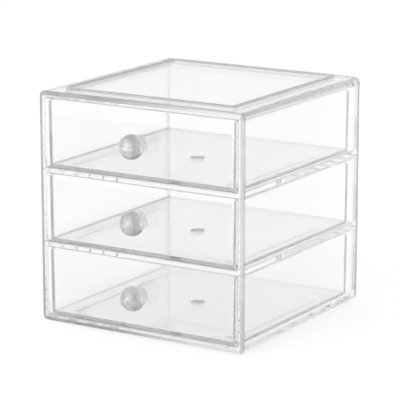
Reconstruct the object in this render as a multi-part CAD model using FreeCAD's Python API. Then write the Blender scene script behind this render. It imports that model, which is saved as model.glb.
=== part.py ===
import FreeCAD, Part
import math
import os

# Clear plastic cosmetics organiser: one moulded case with three bays, three tray drawers
# and three ball knobs. Millimetres, +Z up, drawers open towards -Y. The origin is the
# centre of the whole footprint, on the surface that the organiser stands on.

# Case shell
case_width = 170.0
case_depth = 168.0
case_height = 169.5            # without the stacking rim and the locating lugs
side_wall = 4.5                # at the front opening
roof_wall = 4.5
floor_wall = 4.5
back_wall = 3.0
shelf_thickness = 3.0
bay_count = 3
side_draft = 1.6               # each bay is this much narrower per side at its back
roof_draft = 0.5               # and its ceiling this much lower
long_edge_radius = 4.0         # the four outer edges that run from front to back
end_edge_radius = 1.5          # round the outline of the front and of the back
bay_corner_radius = 2.0        # along the bay and round its back
lip_radius = 0.4               # softened edge round each front opening

# Stacking rim on top, and the lugs underneath that drop inside it
rim_inset_side = 14.5
rim_inset_end = 10.5
rim_height = 2.2
rim_wall = 2.2
rim_corner_radius = 3.0
rim_edge_bevel = 0.5
least_radius = 0.3             # for an inside corner that the rim's wall would use up
lug_height = 2.0
lug_wall = 3.0
lug_leg = 16.0
lug_inside_radius = 1.0
lug_edge_bevel = 0.5
lug_end_round = 0.45           # share of the lug's wall, just under a full round end
stack_clearance = 0.5          # between a lug and the rim of the unit below

# Drawers
front_thickness = 3.0
front_side_gap = 0.4           # drawer front to the bay wall, each side
front_bottom_gap = 0.4
front_top_gap = 0.5
front_corner_radius = 1.6
front_edge_radius = 0.5
tray_side_step = 2.2           # tray side, in from the end of the drawer front
tray_wall = 2.0
tray_floor = 2.0
tray_draft = 0.5               # tray narrower at the bottom, each side
tray_top_drop = 2.4            # tray sides end below the top of the front
tray_back_drop = 2.0           # and the tray's back wall below its sides
tray_back_gap = 7.0            # tray back to the back wall of the case
tray_corner_radius = 1.6       # outside, round the bottom and up the back corners
tray_inside_radius = 1.2
slide_clearance = 0.15         # glide ribs to the bay floor
rib_height = 0.6
rib_width = 3.6
rib_inset = 13.5               # rib centre line, in from the tray side
rib_start = 14.0               # behind the drawer front's face
rib_length = 117.0
rib_end_round = 0.49           # share of the rib's width, just under a full round end
gate_radius = 5.8              # dished mark that the mould's gate leaves under the floor
gate_depth = 0.8

# Ball knobs
ball_radius = 9.0
collar_radius = 7.0
collar_thickness = 1.6
ball_overlap = 1.4             # how far the ball runs into its collar
spigot_radius = 2.5
spigot_clearance = 0.05
seat_gap = 0.05                # glue line on both faces of the drawer front
stake_radius = 3.8             # staked end inside the drawer
stake_thickness = 1.0
stake_tip_radius = 3.0

# Derived sizes
body_bottom = lug_height
body_top = body_bottom + case_height
bay_width = case_width - 2 * side_wall
bay_height = (case_height - roof_wall - floor_wall - (bay_count - 1) * shelf_thickness) / bay_count
bay_pitch = bay_height + shelf_thickness
bay_length = case_depth - back_wall
ball_centre_reach = seat_gap + collar_thickness - ball_overlap + ball_radius
knob_reach = ball_centre_reach + ball_radius
front_y = knob_reach - (case_depth + knob_reach) / 2
back_y = front_y + case_depth
front_width = bay_width - 2 * front_side_gap
front_height = bay_height - front_bottom_gap - front_top_gap
tray_width = front_width - 2 * tray_side_step
tray_length = bay_length - tray_back_gap


def rounded_rectangle(width, depth, radius):
    """Closed wire in XY, centred on the origin."""
    half_w = width / 2
    half_d = depth / 2
    arc_mid = radius * (1 - math.sqrt(0.5))
    edges = []
    corners = [(1, -1), (1, 1), (-1, 1), (-1, -1)]
    ends = []
    for index, (sx, sy) in enumerate(corners):
        along_x = FreeCAD.Vector(sx * (half_w - radius), sy * half_d, 0)
        along_y = FreeCAD.Vector(sx * half_w, sy * (half_d - radius), 0)
        middle = FreeCAD.Vector(sx * (half_w - arc_mid), sy * (half_d - arc_mid), 0)
        if index % 2 == 0:
            ends.append((along_x, middle, along_y))
        else:
            ends.append((along_y, middle, along_x))
    for index, (start, middle, end) in enumerate(ends):
        edges.append(Part.Arc(start, middle, end).toShape())
        edges.append(Part.LineSegment(end, ends[(index + 1) % 4][0]).toShape())
    return Part.Wire(edges)


def flat_wire(width, depth, radius, x, y, z):
    wire = rounded_rectangle(width, depth, radius)
    wire.translate(FreeCAD.Vector(x, y, z))
    return wire


def upright_wire(width, height, radius, y, z_bottom):
    """Rounded rectangle standing in the XZ plane, its bottom side at z_bottom."""
    wire = rounded_rectangle(width, height, radius)
    wire.rotate(FreeCAD.Vector(0, 0, 0), FreeCAD.Vector(1, 0, 0), 90)
    wire.translate(FreeCAD.Vector(0, y, z_bottom + height / 2))
    return wire


def edges_except(shape, left_out):
    """All edges of a shape but the ones given."""
    return [edge for edge in shape.Edges if not any(edge.isSame(other) for other in left_out)]


def edges_in_plane(shape, axis, value, tolerance=0.01):
    """Edges that lie wholly at one coordinate value along an axis."""
    found = []
    for edge in shape.Edges:
        box = edge.BoundBox
        low = (box.XMin, box.YMin, box.ZMin)[axis]
        high = (box.XMax, box.YMax, box.ZMax)[axis]
        if abs(low - value) < tolerance and abs(high - value) < tolerance:
            found.append(edge)
    return found


def bay_floor(level):
    """Height of a bay's floor; level 0 is the bottom bay."""
    return body_bottom + floor_wall + level * bay_pitch


def make_bay(level):
    """The tapered space that the mould core leaves, closed and rounded at the back."""
    floor = bay_floor(level)
    inner_width = bay_width - 2 * side_draft
    inner_height = bay_height - roof_draft
    end_y = front_y + bay_length
    bay = Part.makeWedge(-bay_width / 2, front_y, floor, floor, -inner_width / 2,
                         bay_width / 2, end_y, floor + bay_height, floor + inner_height,
                         inner_width / 2)
    return bay.makeFillet(bay_corner_radius, edges_except(bay, edges_in_plane(bay, 1, front_y)))


def make_rim():
    width = case_width - 2 * rim_inset_side
    depth = case_depth - 2 * rim_inset_end
    centre_y = (front_y + back_y) / 2
    root = roof_wall / 2
    outer = Part.Face(flat_wire(width, depth, rim_corner_radius, 0, centre_y, body_top - root))
    inner_radius = max(rim_corner_radius - rim_wall, least_radius)
    inner = Part.Face(flat_wire(width - 2 * rim_wall, depth - 2 * rim_wall, inner_radius,
                                0, centre_y, body_top))
    block = outer.extrude(FreeCAD.Vector(0, 0, rim_height + root))
    hollow = inner.extrude(FreeCAD.Vector(0, 0, rim_height + root))
    ring = block.cut(hollow)
    return ring.makeChamfer(rim_edge_bevel, edges_in_plane(ring, 2, body_top + rim_height))


def make_lugs():
    """Four corner pieces of a ring that fits inside the rim of the unit below."""
    inset = rim_wall + stack_clearance
    width = case_width - 2 * (rim_inset_side + inset)
    depth = case_depth - 2 * (rim_inset_end + inset)
    centre_y = (front_y + back_y) / 2
    radius = lug_wall + lug_inside_radius
    outer = Part.Face(flat_wire(width, depth, radius, 0, centre_y, 0))
    inner = Part.Face(flat_wire(width - 2 * lug_wall, depth - 2 * lug_wall, lug_inside_radius,
                                0, centre_y, 0))
    ring = outer.cut(inner).extrude(FreeCAD.Vector(0, 0, lug_height + floor_wall / 2))
    lugs = []
    for sx in (-1, 1):
        for sy in (-1, 1):
            corner_x = sx * width / 2
            corner_y = centre_y + sy * depth / 2
            low_x = min(corner_x, corner_x - sx * lug_leg)
            low_y = min(corner_y, corner_y - sy * lug_leg)
            corner = Part.makeBox(lug_leg, lug_leg, 2 * floor_wall, FreeCAD.Vector(low_x, low_y, 0))
            lug = ring.common(corner)
            end_edges = []
            for edge in lug.Edges:
                box = edge.BoundBox
                upright = box.ZLength > lug_height and box.XLength < 0.01 and box.YLength < 0.01
                at_end = (abs(box.XMin - (corner_x - sx * lug_leg)) < 0.01
                          or abs(box.YMin - (corner_y - sy * lug_leg)) < 0.01)
                if upright and at_end:
                    end_edges.append(edge)
            lug = lug.makeFillet(lug_wall * lug_end_round, end_edges)
            lug = lug.makeChamfer(lug_edge_bevel, edges_in_plane(lug, 2, 0))
            lugs.append(lug)
    return lugs


def make_case():
    """One moulded shell: outer box, three tapered bays, stacking rim and lugs."""
    corner = FreeCAD.Vector(-case_width / 2, front_y, body_bottom)
    shell = Part.makeBox(case_width, case_depth, case_height, corner)
    front_and_back = edges_in_plane(shell, 1, front_y) + edges_in_plane(shell, 1, back_y)
    shell = shell.makeFillet(long_edge_radius, edges_except(shell, front_and_back))
    front_and_back = edges_in_plane(shell, 1, front_y) + edges_in_plane(shell, 1, back_y)
    shell = shell.makeFillet(end_edge_radius, front_and_back)
    shell = shell.fuse([make_rim()] + make_lugs())
    for level in range(bay_count):
        shell = shell.cut(make_bay(level))
    shell = shell.removeSplitter()
    mouth_edges = []
    for edge in edges_in_plane(shell, 1, front_y):
        box = edge.BoundBox
        if max(abs(box.XMin), abs(box.XMax)) < bay_width / 2 + 0.01:
            inside = box.ZMin > bay_floor(0) - 0.01 and box.ZMax < body_top - roof_wall + 0.01
            if inside:
                mouth_edges.append(edge)
    return shell.makeFillet(lip_radius, mouth_edges)


def drafted_block(width, low_y, high_y, bottom, top):
    """Block whose two sides lean in towards the bottom by the tray's draft."""
    half = width / 2
    block = Part.makeWedge(tray_draft - half, bottom, -high_y, -high_y, -half,
                           half - tray_draft, top, -low_y, -low_y, half)
    block.rotate(FreeCAD.Vector(0, 0, 0), FreeCAD.Vector(1, 0, 0), 90)
    return block


def tray_top(bottom):
    return bottom + front_height - tray_top_drop


def make_tray(bottom):
    """The tray's outer block, which starts inside the drawer front, and its hollow."""
    top = tray_top(bottom)
    start = front_y + front_thickness / 2
    tray_back = front_y + tray_length
    block = drafted_block(tray_width, start, tray_back, bottom, top)
    open_edges = edges_in_plane(block, 1, start) + edges_in_plane(block, 2, top)
    block = block.makeFillet(tray_corner_radius, edges_except(block, open_edges))
    hollow = drafted_block(tray_width - 2 * tray_wall, front_y + front_thickness,
                           tray_back - tray_wall, bottom + tray_floor, top)
    open_edges = edges_in_plane(hollow, 2, top)
    hollow = hollow.makeFillet(tray_inside_radius, edges_except(hollow, open_edges))
    return block, hollow


def make_drawer(level):
    """Flush front, tray, glide ribs under the floor and a knob hole through the front."""
    front_bottom = bay_floor(level) + front_bottom_gap
    outline = upright_wire(front_width, front_height, front_corner_radius, front_y, front_bottom)
    front = Part.Face(outline).extrude(FreeCAD.Vector(0, front_thickness, 0))
    front = front.makeFillet(front_edge_radius, edges_in_plane(front, 1, front_y))
    tray_bottom = bay_floor(level) + slide_clearance + rib_height
    block, hollow = make_tray(tray_bottom)
    ribs = []
    for side in (-1, 1):
        centre_x = side * (tray_width / 2 - rib_inset)
        centre_y = front_y + rib_start + rib_length / 2
        wire = flat_wire(rib_width, rib_length, rib_width * rib_end_round, centre_x, centre_y,
                         bay_floor(level) + slide_clearance)
        ribs.append(Part.Face(wire).extrude(FreeCAD.Vector(0, 0, rib_height + tray_floor / 2)))
    drawer = front.fuse([block] + ribs).cut(hollow)
    hole = Part.makeCylinder(spigot_radius + spigot_clearance, 3 * front_thickness,
                             FreeCAD.Vector(0, front_y - front_thickness, knob_height(level)),
                             FreeCAD.Vector(0, 1, 0))
    back_step = make_back_step(tray_top(tray_bottom))
    return drawer.cut([make_gate(tray_bottom), hole, back_step]).removeSplitter()


def make_gate(tray_bottom):
    """Round dish in the underside of the tray, cut by a shallow sphere."""
    sphere_radius = (gate_radius ** 2 + gate_depth ** 2) / (2 * gate_depth)
    centre = FreeCAD.Vector(0, front_y + tray_length / 2, tray_bottom + gate_depth - sphere_radius)
    return Part.makeSphere(sphere_radius, centre)


def make_back_step(top):
    """What the tray's back wall lacks in height, between the two sides."""
    width = tray_width - 2 * (tray_wall + tray_draft)
    corner = FreeCAD.Vector(-width / 2, front_y + tray_length - 2 * tray_wall, top - tray_back_drop)
    return Part.makeBox(width, 4 * tray_wall, 2 * tray_back_drop, corner)


def knob_height(level):
    return bay_floor(level) + front_bottom_gap + front_height / 2


def make_knob(level):
    """Solid ball on a thin collar, with a spigot staked over inside the drawer."""
    ball_y = -ball_centre_reach
    collar_back = -seat_gap
    collar_front = collar_back - collar_thickness
    neck = math.sqrt(ball_radius ** 2 - (collar_front - ball_y) ** 2)
    inside = front_thickness + seat_gap
    tip = inside + stake_thickness
    points = [
        FreeCAD.Vector(collar_radius, collar_front, 0),
        FreeCAD.Vector(collar_radius, collar_back, 0),
        FreeCAD.Vector(spigot_radius, collar_back, 0),
        FreeCAD.Vector(spigot_radius, inside, 0),
        FreeCAD.Vector(stake_radius, inside, 0),
        FreeCAD.Vector(stake_tip_radius, tip, 0),
        FreeCAD.Vector(0, tip, 0),
        FreeCAD.Vector(0, ball_y - ball_radius, 0),
    ]
    edges = []
    for start, end in zip(points[:-1], points[1:]):
        edges.append(Part.LineSegment(start, end).toShape())
    side = FreeCAD.Vector(ball_radius, ball_y, 0)
    neck_point = FreeCAD.Vector(neck, collar_front, 0)
    edges.append(Part.Arc(points[-1], side, neck_point).toShape())
    edges.append(Part.LineSegment(neck_point, points[0]).toShape())
    profile = Part.Face(Part.Wire(edges))
    knob = profile.revolve(FreeCAD.Vector(0, 0, 0), FreeCAD.Vector(0, 1, 0), 360)
    knob.translate(FreeCAD.Vector(0, front_y, knob_height(level)))
    return knob


def main():
    os.makedirs("parts", exist_ok=True)
    make_case().exportStep("parts/case_shell.step")
    for level, name in enumerate(("bottom", "middle", "top")):
        make_drawer(level).exportStep("parts/" + name + "_drawer.step")
        make_knob(level).exportStep("parts/" + name + "_knob.step")


main()
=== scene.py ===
import bpy
import math
from mathutils import Matrix, Vector


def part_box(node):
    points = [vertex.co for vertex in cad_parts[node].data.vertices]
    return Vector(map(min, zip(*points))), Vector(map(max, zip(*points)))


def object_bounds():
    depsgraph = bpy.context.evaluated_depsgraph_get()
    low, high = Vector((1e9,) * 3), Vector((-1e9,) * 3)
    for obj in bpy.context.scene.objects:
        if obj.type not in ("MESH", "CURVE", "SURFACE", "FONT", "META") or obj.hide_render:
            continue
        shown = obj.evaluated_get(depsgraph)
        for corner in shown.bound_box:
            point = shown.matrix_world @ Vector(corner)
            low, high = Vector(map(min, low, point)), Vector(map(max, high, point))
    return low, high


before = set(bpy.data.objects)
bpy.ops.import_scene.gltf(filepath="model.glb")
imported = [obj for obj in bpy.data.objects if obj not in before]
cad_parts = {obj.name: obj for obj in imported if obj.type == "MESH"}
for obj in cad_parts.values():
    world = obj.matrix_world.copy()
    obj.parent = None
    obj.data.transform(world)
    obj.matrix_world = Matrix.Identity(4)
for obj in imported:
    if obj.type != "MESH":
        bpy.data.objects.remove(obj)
lowCad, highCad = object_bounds()
scene = bpy.context.scene
print("frame loaded")

caseBody = {"lug": 0.002, "rim": 0.0022}  # metres that stand below and above the case's body


# the case's body, without its lugs and its stacking rim
def bodyBox():
    low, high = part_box("case_shell")
    return low + Vector((0, 0, caseBody["lug"])), high - Vector((0, 0, caseBody["rim"]))


# degrees, and metres from the front left bottom corner of the case's body
camera = {
    "yaw": 31.7226, "pitch": 13.1857, "roll": -0.0517,
    "fromCorner": (0.89886, -1.23582, 0.44614),
    "lens": 195.5, "sensor": 36.0, "farClip": 60.0,
}


def makeCamera():
    yaw, pitch, roll = (math.radians(camera[key]) for key in ("yaw", "pitch", "roll"))
    lens = bpy.data.cameras.new("frontRight")
    lens.lens = camera["lens"]
    lens.sensor_width = camera["sensor"]
    lens.clip_end = camera["farClip"]
    holder = bpy.data.objects.new("frontRight", lens)
    level = math.cos(pitch)
    forward = Vector((-math.sin(yaw) * level, math.cos(yaw) * level, -math.sin(pitch)))
    holder.rotation_mode = "QUATERNION"
    tilt = Matrix.Rotation(roll, 3, "Z").to_quaternion()
    holder.rotation_quaternion = forward.to_track_quat("-Z", "Y") @ tilt
    holder.location = bodyBox()[0] + Vector(camera["fromCorner"])
    scene.collection.objects.link(holder)
    scene.camera = holder


makeCamera()
print("camera set")


# an input whose value is None takes a vector, and so do the outputs listed in vectors
def newGroup(name, inputs, outputs, vectors=()):
    group = bpy.data.node_groups.new(name, "ShaderNodeTree")
    for label, value in inputs.items():
        kind = "NodeSocketVector" if value is None else "NodeSocketFloat"
        socket = group.interface.new_socket(label, in_out="INPUT", socket_type=kind)
        if value is not None:
            socket.default_value = value
    for label in outputs:
        group.interface.new_socket(label, in_out="OUTPUT", socket_type="NodeSocketFloat")
    for label in vectors:
        group.interface.new_socket(label, in_out="OUTPUT", socket_type="NodeSocketVector")
    start = group.nodes.new("NodeGroupInput")
    end = group.nodes.new("NodeGroupOutput")
    return group, start.outputs, end.inputs


def plug(tree, socket, value):
    if isinstance(value, bpy.types.NodeSocket):
        tree.links.new(value, socket)
    else:
        socket.default_value = value


def mathNode(tree, kind, *values):
    node = tree.nodes.new("ShaderNodeMath")
    node.operation = kind
    for socket, value in zip(node.inputs, values):
        plug(tree, socket, value)
    return node.outputs[0]


def product(tree, first, *others):
    for value in others:
        first = mathNode(tree, "MULTIPLY", first, value)
    return first


def vectorNode(tree, kind, *values):
    node = tree.nodes.new("ShaderNodeVectorMath")
    node.operation = kind
    for socket, value in zip(node.inputs, values):
        plug(tree, socket, value)
    return node.outputs["Value" if kind in ("DOT_PRODUCT", "LENGTH") else "Vector"]


def separate(tree, vector):
    node = tree.nodes.new("ShaderNodeSeparateXYZ")
    tree.links.new(vector, node.inputs[0])
    return node.outputs


def mapRange(tree, value, fromLow, fromHigh, toLow=0.0, toHigh=1.0, smooth=True):
    node = tree.nodes.new("ShaderNodeMapRange")
    node.interpolation_type = "SMOOTHSTEP" if smooth else "LINEAR"
    plug(tree, node.inputs["Value"], value)
    plug(tree, node.inputs["From Min"], fromLow)
    plug(tree, node.inputs["From Max"], fromHigh)
    plug(tree, node.inputs["To Min"], toLow)
    plug(tree, node.inputs["To Max"], toHigh)
    return node.outputs[0]


def mixColour(tree, factor, first, second):
    node = tree.nodes.new("ShaderNodeMix")
    node.data_type = "RGBA"
    plug(tree, node.inputs["Factor"], factor)
    plug(tree, node.inputs["A"], first if isinstance(first, bpy.types.NodeSocket) else (*first, 1))
    plug(tree, node.inputs["B"], (*second, 1))
    return node.outputs["Result"]


def noiseNode(tree, vector, size, detail):
    node = tree.nodes.new("ShaderNodeTexNoise")
    tree.links.new(vector, node.inputs["Vector"])
    plug(tree, node.inputs["Scale"], mathNode(tree, "DIVIDE", 1.0, size))
    node.inputs["Detail"].default_value = detail
    return node.outputs[0]


def surfacePlace(tree):
    return tree.nodes.new("ShaderNodeTexCoord").outputs["Object"]


def surfaceNormal(tree):
    return tree.nodes.new("ShaderNodeNewGeometry").outputs["Normal"]


def useGroup(tree, group, **values):
    node = tree.nodes.new("ShaderNodeGroup")
    node.node_tree = group
    for label, value in values.items():
        plug(tree, node.inputs[label], value)
    return node.outputs


# Mask is 1 on rounded corners and 0 on walls that face straight along an axis; it places painted shade, a
# grey tint on the rounded corners
def makeEdgeShadeGroup():
    group, given, result = newGroup("roundedEdgeShade", {"From": 0.02, "To": 0.2}, ["Mask"])
    normal = separate(group, surfaceNormal(group))
    sides = [mathNode(group, "ABSOLUTE", normal[axis]) for axis in range(3)]
    flatness = mathNode(group, "MAXIMUM", mathNode(group, "MAXIMUM", sides[0], sides[1]), sides[2])
    turned = mathNode(group, "SUBTRACT", 1.0, flatness)
    group.links.new(mapRange(group, turned, given["From"], given["To"]), result["Mask"])
    return group


# X, Y and Z say how far a place lies outside a box, and Side is its offset from the middle
def makeReachGroup():
    group, given, result = newGroup("boxReach", {"Centre": None, "Half": None}, ["X", "Y", "Z"], ["Side"])
    away = vectorNode(group, "SUBTRACT", surfacePlace(group), given["Centre"])
    reach = vectorNode(group, "SUBTRACT", vectorNode(group, "ABSOLUTE", away), given["Half"])
    for label, distance in zip("XYZ", separate(group, reach)):
        group.links.new(distance, result[label])
    group.links.new(away, result["Side"])
    return group


# painted shade: Front and Top lie along the outer edges of the mouth and the roof, Rear on the sides next
# to the back, and Beyond above and below the box; Front fades from left to right. All four are grey bands
# that stand for the dark edges of clear plastic
def makeShadeOutlineGroup():
    inputs = {
        "Centre": None, "Half": None, "Depth": None, "Soft": 0.0003, "Rear Depth": 0.004,
        "Fade From": -0.35, "Fade To": 0.9, "Least": 0.25, "Least Upright": 0.35, "Sideways": 0.7,
    }
    group, given, result = newGroup("paintedEdgeShade", inputs, ["Front", "Top", "Rear", "Beyond"])
    soft = given["Soft"]
    reach = useGroup(group, reachGroup, Centre=given["Centre"], Half=given["Half"])
    depth = separate(group, given["Depth"])
    near = []
    for axis in range(3):
        past = mathNode(group, "ADD", reach[axis], depth[axis])
        near.append(mapRange(group, past, 0.0, soft))
    side = separate(group, reach["Side"])
    outer = mathNode(group, "MAXIMUM", near[0], near[2])

    across = mathNode(group, "DIVIDE", side[0], separate(group, given["Half"])[0])
    right = mapRange(group, across, given["Fade From"], given["Fade To"])
    least = mathNode(group, "MULTIPLY_ADD", near[0], given["Least Upright"], given["Least"])
    fading = mapRange(group, right, 0.0, 1.0, 1.0, least, smooth=False)
    front = mathNode(group, "LESS_THAN", side[1], 0.0)
    group.links.new(product(group, near[1], front, outer, fading), result["Front"])

    above = mathNode(group, "GREATER_THAN", side[2], 0.0)
    group.links.new(product(group, near[2], above, near[0]), result["Top"])

    rearmost = mapRange(group, mathNode(group, "ADD", reach["Y"], given["Rear Depth"]), 0.0, soft)
    behind = mathNode(group, "GREATER_THAN", side[1], 0.0)
    facing = mathNode(group, "ABSOLUTE", separate(group, surfaceNormal(group))[1])
    sideways = mathNode(group, "LESS_THAN", facing, given["Sideways"])
    under = product(group, mathNode(group, "LESS_THAN", side[2], 0.0), near[2])
    lifted = mathNode(group, "SUBTRACT", 1.0, under)
    group.links.new(product(group, rearmost, behind, outer, sideways, lifted), result["Rear"])

    group.links.new(mapRange(group, reach["Z"], 0.0, soft), result["Beyond"])
    return group


# Mask is 1 inside an upright cylinder round Centre, up to Height above it
def makeDiscGroup():
    inputs = {"Centre": None, "Radius": 0.005, "Height": 0.001, "Soft": 0.0005}
    group, given, result = newGroup("discMark", inputs, ["Mask"])
    away = vectorNode(group, "SUBTRACT", surfacePlace(group), given["Centre"])
    spread = vectorNode(group, "LENGTH", vectorNode(group, "MULTIPLY", away, (1.0, 1.0, 0.0)))
    inside = mathNode(group, "SUBTRACT", given["Radius"], spread)
    low = mathNode(group, "LESS_THAN", separate(group, away)[2], given["Height"])
    disc = mapRange(group, inside, 0.0, given["Soft"])
    group.links.new(product(group, disc, low), result["Mask"])
    return group


# Mask is 1 on upright faces lower than Height above Floor; it places painted shade that draws the drawers'
# ribs as dark lines
def makeRibShadeGroup():
    group, given, result = newGroup("ribSides", {"Floor": 0.0, "Height": 0.0006, "Upright": 0.5}, ["Mask"])
    above = mathNode(group, "SUBTRACT", separate(group, surfacePlace(group))[2], given["Floor"])
    low = mathNode(group, "LESS_THAN", above, given["Height"])
    level = mathNode(group, "ABSOLUTE", separate(group, surfaceNormal(group))[2])
    upright = mathNode(group, "LESS_THAN", level, given["Upright"])
    group.links.new(product(group, low, upright), result["Mask"])
    return group


# Mask is 1 where a ball faces the studio window; Scale turns it over for the ball's far side. It places
# painted light on the ball: a painted reflection of the window, and painted shade beside it
def makePaintedLightGroup():
    inputs = {
        "Across": None, "Up": None, "Scale": 1.0,
        "Left": 0.68, "Right": 0.0, "Bottom": -0.3, "Top": 0.6, "Soft": 0.1,
    }
    group, given, result = newGroup("paintedLightPatch", inputs, ["Mask"])
    normal = surfaceNormal(group)
    spans = []
    for way, low, high in (("Across", "Right", "Left"), ("Up", "Bottom", "Top")):
        along = product(group, vectorNode(group, "DOT_PRODUCT", normal, given[way]), given["Scale"])
        past = mathNode(group, "SUBTRACT", along, given[low])
        short = mathNode(group, "SUBTRACT", given[high], along)
        spans.append(mapRange(group, mathNode(group, "MINIMUM", past, short), 0.0, given["Soft"]))
    group.links.new(product(group, *spans), result["Mask"])
    return group


handling = {
    "smearDetail": 4.0, "scratchDetail": 1.0, "waveDetail": 2.0,
    "stretches": ((1.0, 0.04, 0.5), (0.05, 1.0, 0.8)),  # hair lines run along y, then along x
    "ridge": 0.5,  # a scratch follows the line where its noise has this value
}


# Smear is finger film, Scratch hair lines, and Wave the mould's slow ripple; sizes in metres
def makeWearGroup():
    inputs = {
        "Shift": None, "Smear Size": 0.03, "Scratch Size": 0.002, "Wave Size": 0.02,
        "Smear From": 0.45, "Smear To": 0.75, "Hair": 0.012, "Patchy From": 0.5, "Patchy To": 0.7,
    }
    group, given, result = newGroup("handlingWear", inputs, ["Smear", "Scratch", "Wave"])
    shifted = vectorNode(group, "ADD", surfacePlace(group), given["Shift"])
    smear = noiseNode(group, shifted, given["Smear Size"], handling["smearDetail"])
    group.links.new(mapRange(group, smear, given["Smear From"], given["Smear To"]), result["Smear"])
    ridges = []
    for stretch in handling["stretches"]:
        stretched = vectorNode(group, "MULTIPLY", shifted, stretch)
        lines = noiseNode(group, stretched, given["Scratch Size"], handling["scratchDetail"])
        ridges.append(mathNode(group, "ABSOLUTE", mathNode(group, "SUBTRACT", lines, handling["ridge"])))
    hair = mapRange(group, mathNode(group, "MINIMUM", *ridges), 0.0, given["Hair"], 1.0, 0.0)
    wave = noiseNode(group, shifted, given["Wave Size"], handling["waveDetail"])
    patchy = mapRange(group, wave, given["Patchy From"], given["Patchy To"])
    group.links.new(product(group, hair, patchy), result["Scratch"])
    group.links.new(wave, result["Wave"])
    return group


edgeShadeGroup = makeEdgeShadeGroup()
reachGroup = makeReachGroup()
shadeOutlineGroup = makeShadeOutlineGroup()
discGroup = makeDiscGroup()
ribGroup = makeRibShadeGroup()
paintedLightGroup = makePaintedLightGroup()
wearGroup = makeWearGroup()

acrylic = {
    "ior": 1.49,
    "dim": (0.90, 0.902, 0.896),  # what the absorption lets through
    "edgeFrom": 0.005, "edgeTo": 0.08,
    "strength": 0.4, "ripple": 0.00003, "cut": 0.1,  # a scratch's depth is a share of the ripple's
}


# each mark gives the colour and the haze, which is roughness, that a mask brings in
def addMark(tree, mask, mark, colour, haze):
    colour = mixColour(tree, mask, colour, mark["colour"])
    haze = mapRange(tree, mask, 0.0, 1.0, haze, mark["haze"], smooth=False)
    return colour, haze


def addWear(tree, shell, wear, order, colour, haze):
    marks = useGroup(tree, wearGroup, Shift=Vector(wear["shift"]) * order)
    haze = mathNode(tree, "MULTIPLY_ADD", marks["Smear"], wear["smear"], haze)
    haze = mathNode(tree, "MULTIPLY_ADD", marks["Scratch"], wear["scratch"], haze)
    colour = mixColour(tree, product(tree, marks["Smear"], wear["film"]), colour, wear["tint"])
    ripple = tree.nodes.new("ShaderNodeBump")
    ripple.inputs["Strength"].default_value = acrylic["strength"]
    ripple.inputs["Distance"].default_value = acrylic["ripple"]
    height = mathNode(tree, "MULTIPLY_ADD", marks["Scratch"], -acrylic["cut"], marks["Wave"])
    tree.links.new(height, ripple.inputs["Height"])
    tree.links.new(ripple.outputs[0], shell.inputs["Normal"])
    return colour, haze


def clearPlastic(piece, order, settings, addMarks):
    material = bpy.data.materials.new(piece + "Clear")
    material.use_nodes = True
    tree = material.node_tree
    tree.nodes.clear()
    out = tree.nodes.new("ShaderNodeOutputMaterial")
    shell = tree.nodes.new("ShaderNodeBsdfPrincipled")
    shell.inputs["IOR"].default_value = acrylic["ior"]
    shell.inputs["Transmission Weight"].default_value = 1.0
    colour, haze = settings["flat"]["colour"], settings["flat"]["haze"]
    # the edge mark's colour is painted shade: rounded corners greyed, as the edges of clear plastic look
    # dark
    if "edge" in settings:
        edge = useGroup(tree, edgeShadeGroup, From=acrylic["edgeFrom"], To=acrylic["edgeTo"])
        colour, haze = addMark(tree, edge["Mask"], settings["edge"], colour, haze)
    colour, haze = addMarks(tree, piece, colour, haze)
    colour, haze = addWear(tree, shell, settings["wear"], order, colour, haze)
    tree.links.new(colour, shell.inputs["Base Color"])
    tree.links.new(haze, shell.inputs["Roughness"])
    tree.links.new(shell.outputs["BSDF"], out.inputs["Surface"])
    if "density" in settings:
        body = tree.nodes.new("ShaderNodeVolumeAbsorption")
        body.inputs["Color"].default_value = (*acrylic["dim"], 1)
        body.inputs["Density"].default_value = settings["density"]
        tree.links.new(body.outputs[0], out.inputs["Volume"])
    return material


casePlastic = {
    "flat": {"colour": (0.985, 0.987, 0.982), "haze": 0.03},
    # edge: painted shade, the rounded corners greyed
    "edge": {"colour": (0.9, 0.9, 0.9), "haze": 0.1},
    "wear": {
        "shift": (0.4, 0.15, 0.05), "smear": 0.02, "scratch": 0.03,
        "film": 0.3, "tint": (0.965, 0.97, 0.96),
    },
    "density": 1.0,
    "depth": (0.0030, 0.0020, 0.0030),
    # marks: painted shade, grey bands along the case's outer edges, on its lugs and on its rim
    "marks": {
        "Rear": {"colour": (0.42, 0.42, 0.42), "haze": 0.5},
        "Top": {"colour": (0.88, 0.88, 0.88), "haze": 0.4},
        "Front": {"colour": (0.40, 0.405, 0.40), "haze": 0.55},
        "Beyond": {"colour": (0.75, 0.75, 0.75), "haze": 0.3},
    },
}


# paints shade as grey bands along the case's outer edges
def addCaseShadeBands(tree, piece, colour, haze):
    low, high = bodyBox()
    centre, half = (low + high) / 2, (high - low) / 2
    caseEdgeShade = useGroup(tree, shadeOutlineGroup, Centre=centre, Half=half, Depth=casePlastic["depth"])
    for label, mark in casePlastic["marks"].items():
        colour, haze = addMark(tree, caseEdgeShade[label], mark, colour, haze)
    return colour, haze


drawerPlastic = {
    "flat": {"colour": (0.995, 0.997, 0.991), "haze": 0.05},
    # edge: painted shade, the rounded corners greyed
    "edge": {"colour": (0.92, 0.92, 0.92), "haze": 0.1},
    "wear": {
        "shift": (0.37, 0.22, 0.09), "smear": 0.02, "scratch": 0.03,
        "film": 0.3, "tint": (0.975, 0.98, 0.97),
    },
    "density": 17.0,
    "gateRadius": 0.0058, "gateHeight": 0.0016, "gate": {"colour": (0.62, 0.63, 0.60), "haze": 0.5},
    # rib: painted shade, the rib sides near black to give thin dark lines
    "ribHeight": 0.00065, "rib": {"colour": (0.12, 0.12, 0.12), "haze": 0.1},
}


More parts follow.
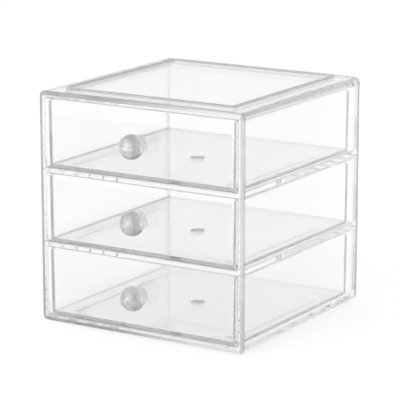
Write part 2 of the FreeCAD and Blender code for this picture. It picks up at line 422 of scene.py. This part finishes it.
def addDrawerMarks(tree, piece, colour, haze):
    low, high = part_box(piece)
    centre = Vector(((low.x + high.x) / 2, (low.y + high.y) / 2, low.z))
    radius, height = drawerPlastic["gateRadius"], drawerPlastic["gateHeight"]
    gate = useGroup(tree, discGroup, Centre=centre, Radius=radius, Height=height)
    colour, haze = addMark(tree, gate["Mask"], drawerPlastic["gate"], colour, haze)
    ribs = useGroup(tree, ribGroup, Floor=low.z, Height=drawerPlastic["ribHeight"])
    return addMark(tree, ribs["Mask"], drawerPlastic["rib"], colour, haze)


knobPlastic = {
    # flat: the grey is painted shade, the clear ball dimmed as by the darker studio it refracts
    "flat": {"colour": (0.75, 0.755, 0.746), "haze": 0.1},
    "wear": {
        "shift": (0.31, 0.17, 0.13), "smear": 0.04, "scratch": 0.05,
        "film": 0.5, "tint": (0.71, 0.715, 0.705),
    },
    "across": (-0.851, -0.526, 0.0), "up": (-0.12, 0.194, 0.974),
    "farSide": -2.9,  # the ball's lens shrinks and turns over what its far side shows
    "shadeReach": {"Left": -0.02, "Right": -1.4, "Bottom": -1.4, "Top": 1.4},
    # shade: painted shade on the near right half of the ball
    "shade": {"colour": (0.5, 0.504, 0.497), "haze": 0.1},
    # the white patch is a painted reflection of a studio window
    "paintedWindow": {"colour": (1.0, 1.0, 1.0), "haze": 0.04},
}


def addKnobMarks(tree, piece, colour, haze):
    # painted shade darkens the ball's near right half
    facing = tree.nodes.new("ShaderNodeNewGeometry").outputs["Backfacing"]
    scale = mapRange(tree, facing, 0.0, 1.0, 1.0, knobPlastic["farSide"], smooth=False)
    across, up = knobPlastic["across"], knobPlastic["up"]
    shade = useGroup(tree, paintedLightGroup, Across=across, Up=up, **knobPlastic["shadeReach"])
    near = product(tree, shade["Mask"], mathNode(tree, "SUBTRACT", 1.0, facing))
    colour, haze = addMark(tree, near, knobPlastic["shade"], colour, haze)
    # painted reflection of the studio window, on the near and the far side of the ball
    paintedWindow = useGroup(tree, paintedLightGroup, Across=across, Up=up, Scale=scale)
    return addMark(tree, paintedWindow["Mask"], knobPlastic["paintedWindow"], colour, haze)


for order, (name, node) in enumerate(sorted(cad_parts.items())):
    if "knob" in name:
        plastic = clearPlastic(name, order, knobPlastic, addKnobMarks)
    elif "drawer" in name:
        plastic = clearPlastic(name, order, drawerPlastic, addDrawerMarks)
    else:
        plastic = clearPlastic(name, order, casePlastic, addCaseShadeBands)
    node.data.materials.clear()
    node.data.materials.append(plastic)
print("materials set")

studio = {
    "floorSize": 30.0, "floorColour": (0.38, 0.38, 0.38), "floorGlow": 0.80,
    "horizon": 1.18, "middle": 0.62, "top": 0.58,
    "bend": (0.25, 0.65, 1.0),  # the sky's heights where each of the three is reached
    "softbox": {"place": (-0.5, -2.3, 0.95), "size": (1.2, 2.1), "power": 20.0},
    "bounces": 72,  # light runs a long way inside the thin walls
}


def backdropRays(tree):
    path = tree.nodes.new("ShaderNodeLightPath").outputs
    seen = mathNode(tree, "MAXIMUM", path["Is Camera Ray"], path["Is Glossy Ray"])
    return mathNode(tree, "MAXIMUM", seen, path["Is Transmission Ray"])


# a matt floor that takes the shadow, and glows for what is seen straight, mirrored or through plastic
def makeFloor():
    half = studio["floorSize"] / 2
    corners = [(-half, -half, 0), (half, -half, 0), (half, half, 0), (-half, half, 0)]
    mesh = bpy.data.meshes.new("floor")
    mesh.from_pydata(corners, [], [(0, 1, 2, 3)])
    floor = bpy.data.objects.new("floor", mesh)
    scene.collection.objects.link(floor)
    material = bpy.data.materials.new("paleFloor")
    material.use_nodes = True
    tree = material.node_tree
    tree.nodes.clear()
    out = tree.nodes.new("ShaderNodeOutputMaterial")
    glow = tree.nodes.new("ShaderNodeEmission")
    plug(tree, glow.inputs["Strength"], product(tree, backdropRays(tree), studio["floorGlow"]))
    matt = tree.nodes.new("ShaderNodeBsdfDiffuse")
    matt.inputs["Color"].default_value = (*studio["floorColour"], 1)
    both = tree.nodes.new("ShaderNodeAddShader")
    tree.links.new(matt.outputs[0], both.inputs[0])
    tree.links.new(glow.outputs[0], both.inputs[1])
    tree.links.new(both.outputs[0], out.inputs["Surface"])
    mesh.materials.append(material)


# bright at the horizon, greyer overhead
def makeWorld():
    world = bpy.data.worlds.new("studioWorld")
    scene.world = world
    world.use_nodes = True
    tree = world.node_tree
    tree.nodes.clear()
    out = tree.nodes.new("ShaderNodeOutputWorld")
    light = tree.nodes.new("ShaderNodeBackground")
    height = separate(tree, tree.nodes.new("ShaderNodeTexCoord").outputs["Generated"])[2]
    start, bend, end = studio["bend"]
    low = mapRange(tree, height, start, bend, studio["horizon"], studio["middle"])
    high = mapRange(tree, height, bend, end, 0.0, studio["top"] - studio["middle"])
    plug(tree, light.inputs["Strength"], mathNode(tree, "ADD", low, high))
    tree.links.new(light.outputs[0], out.inputs["Surface"])


def makeSoftbox():
    box = studio["softbox"]
    lamp = bpy.data.lights.new("softbox", "AREA")
    lamp.shape = "RECTANGLE"
    lamp.size, lamp.size_y = box["size"]
    lamp.energy = box["power"]
    holder = bpy.data.objects.new("softbox", lamp)
    holder.location = box["place"]
    aim = (lowCad + highCad) / 2 - holder.location
    holder.rotation_euler = aim.to_track_quat("-Z", "Y").to_euler()
    scene.collection.objects.link(holder)


makeFloor()
makeWorld()
makeSoftbox()
scene.view_settings.view_transform = "Standard"
scene.cycles.max_bounces = studio["bounces"]
scene.cycles.transmission_bounces = studio["bounces"]
scene.cycles.glossy_bounces = studio["bounces"]
print("studio set")
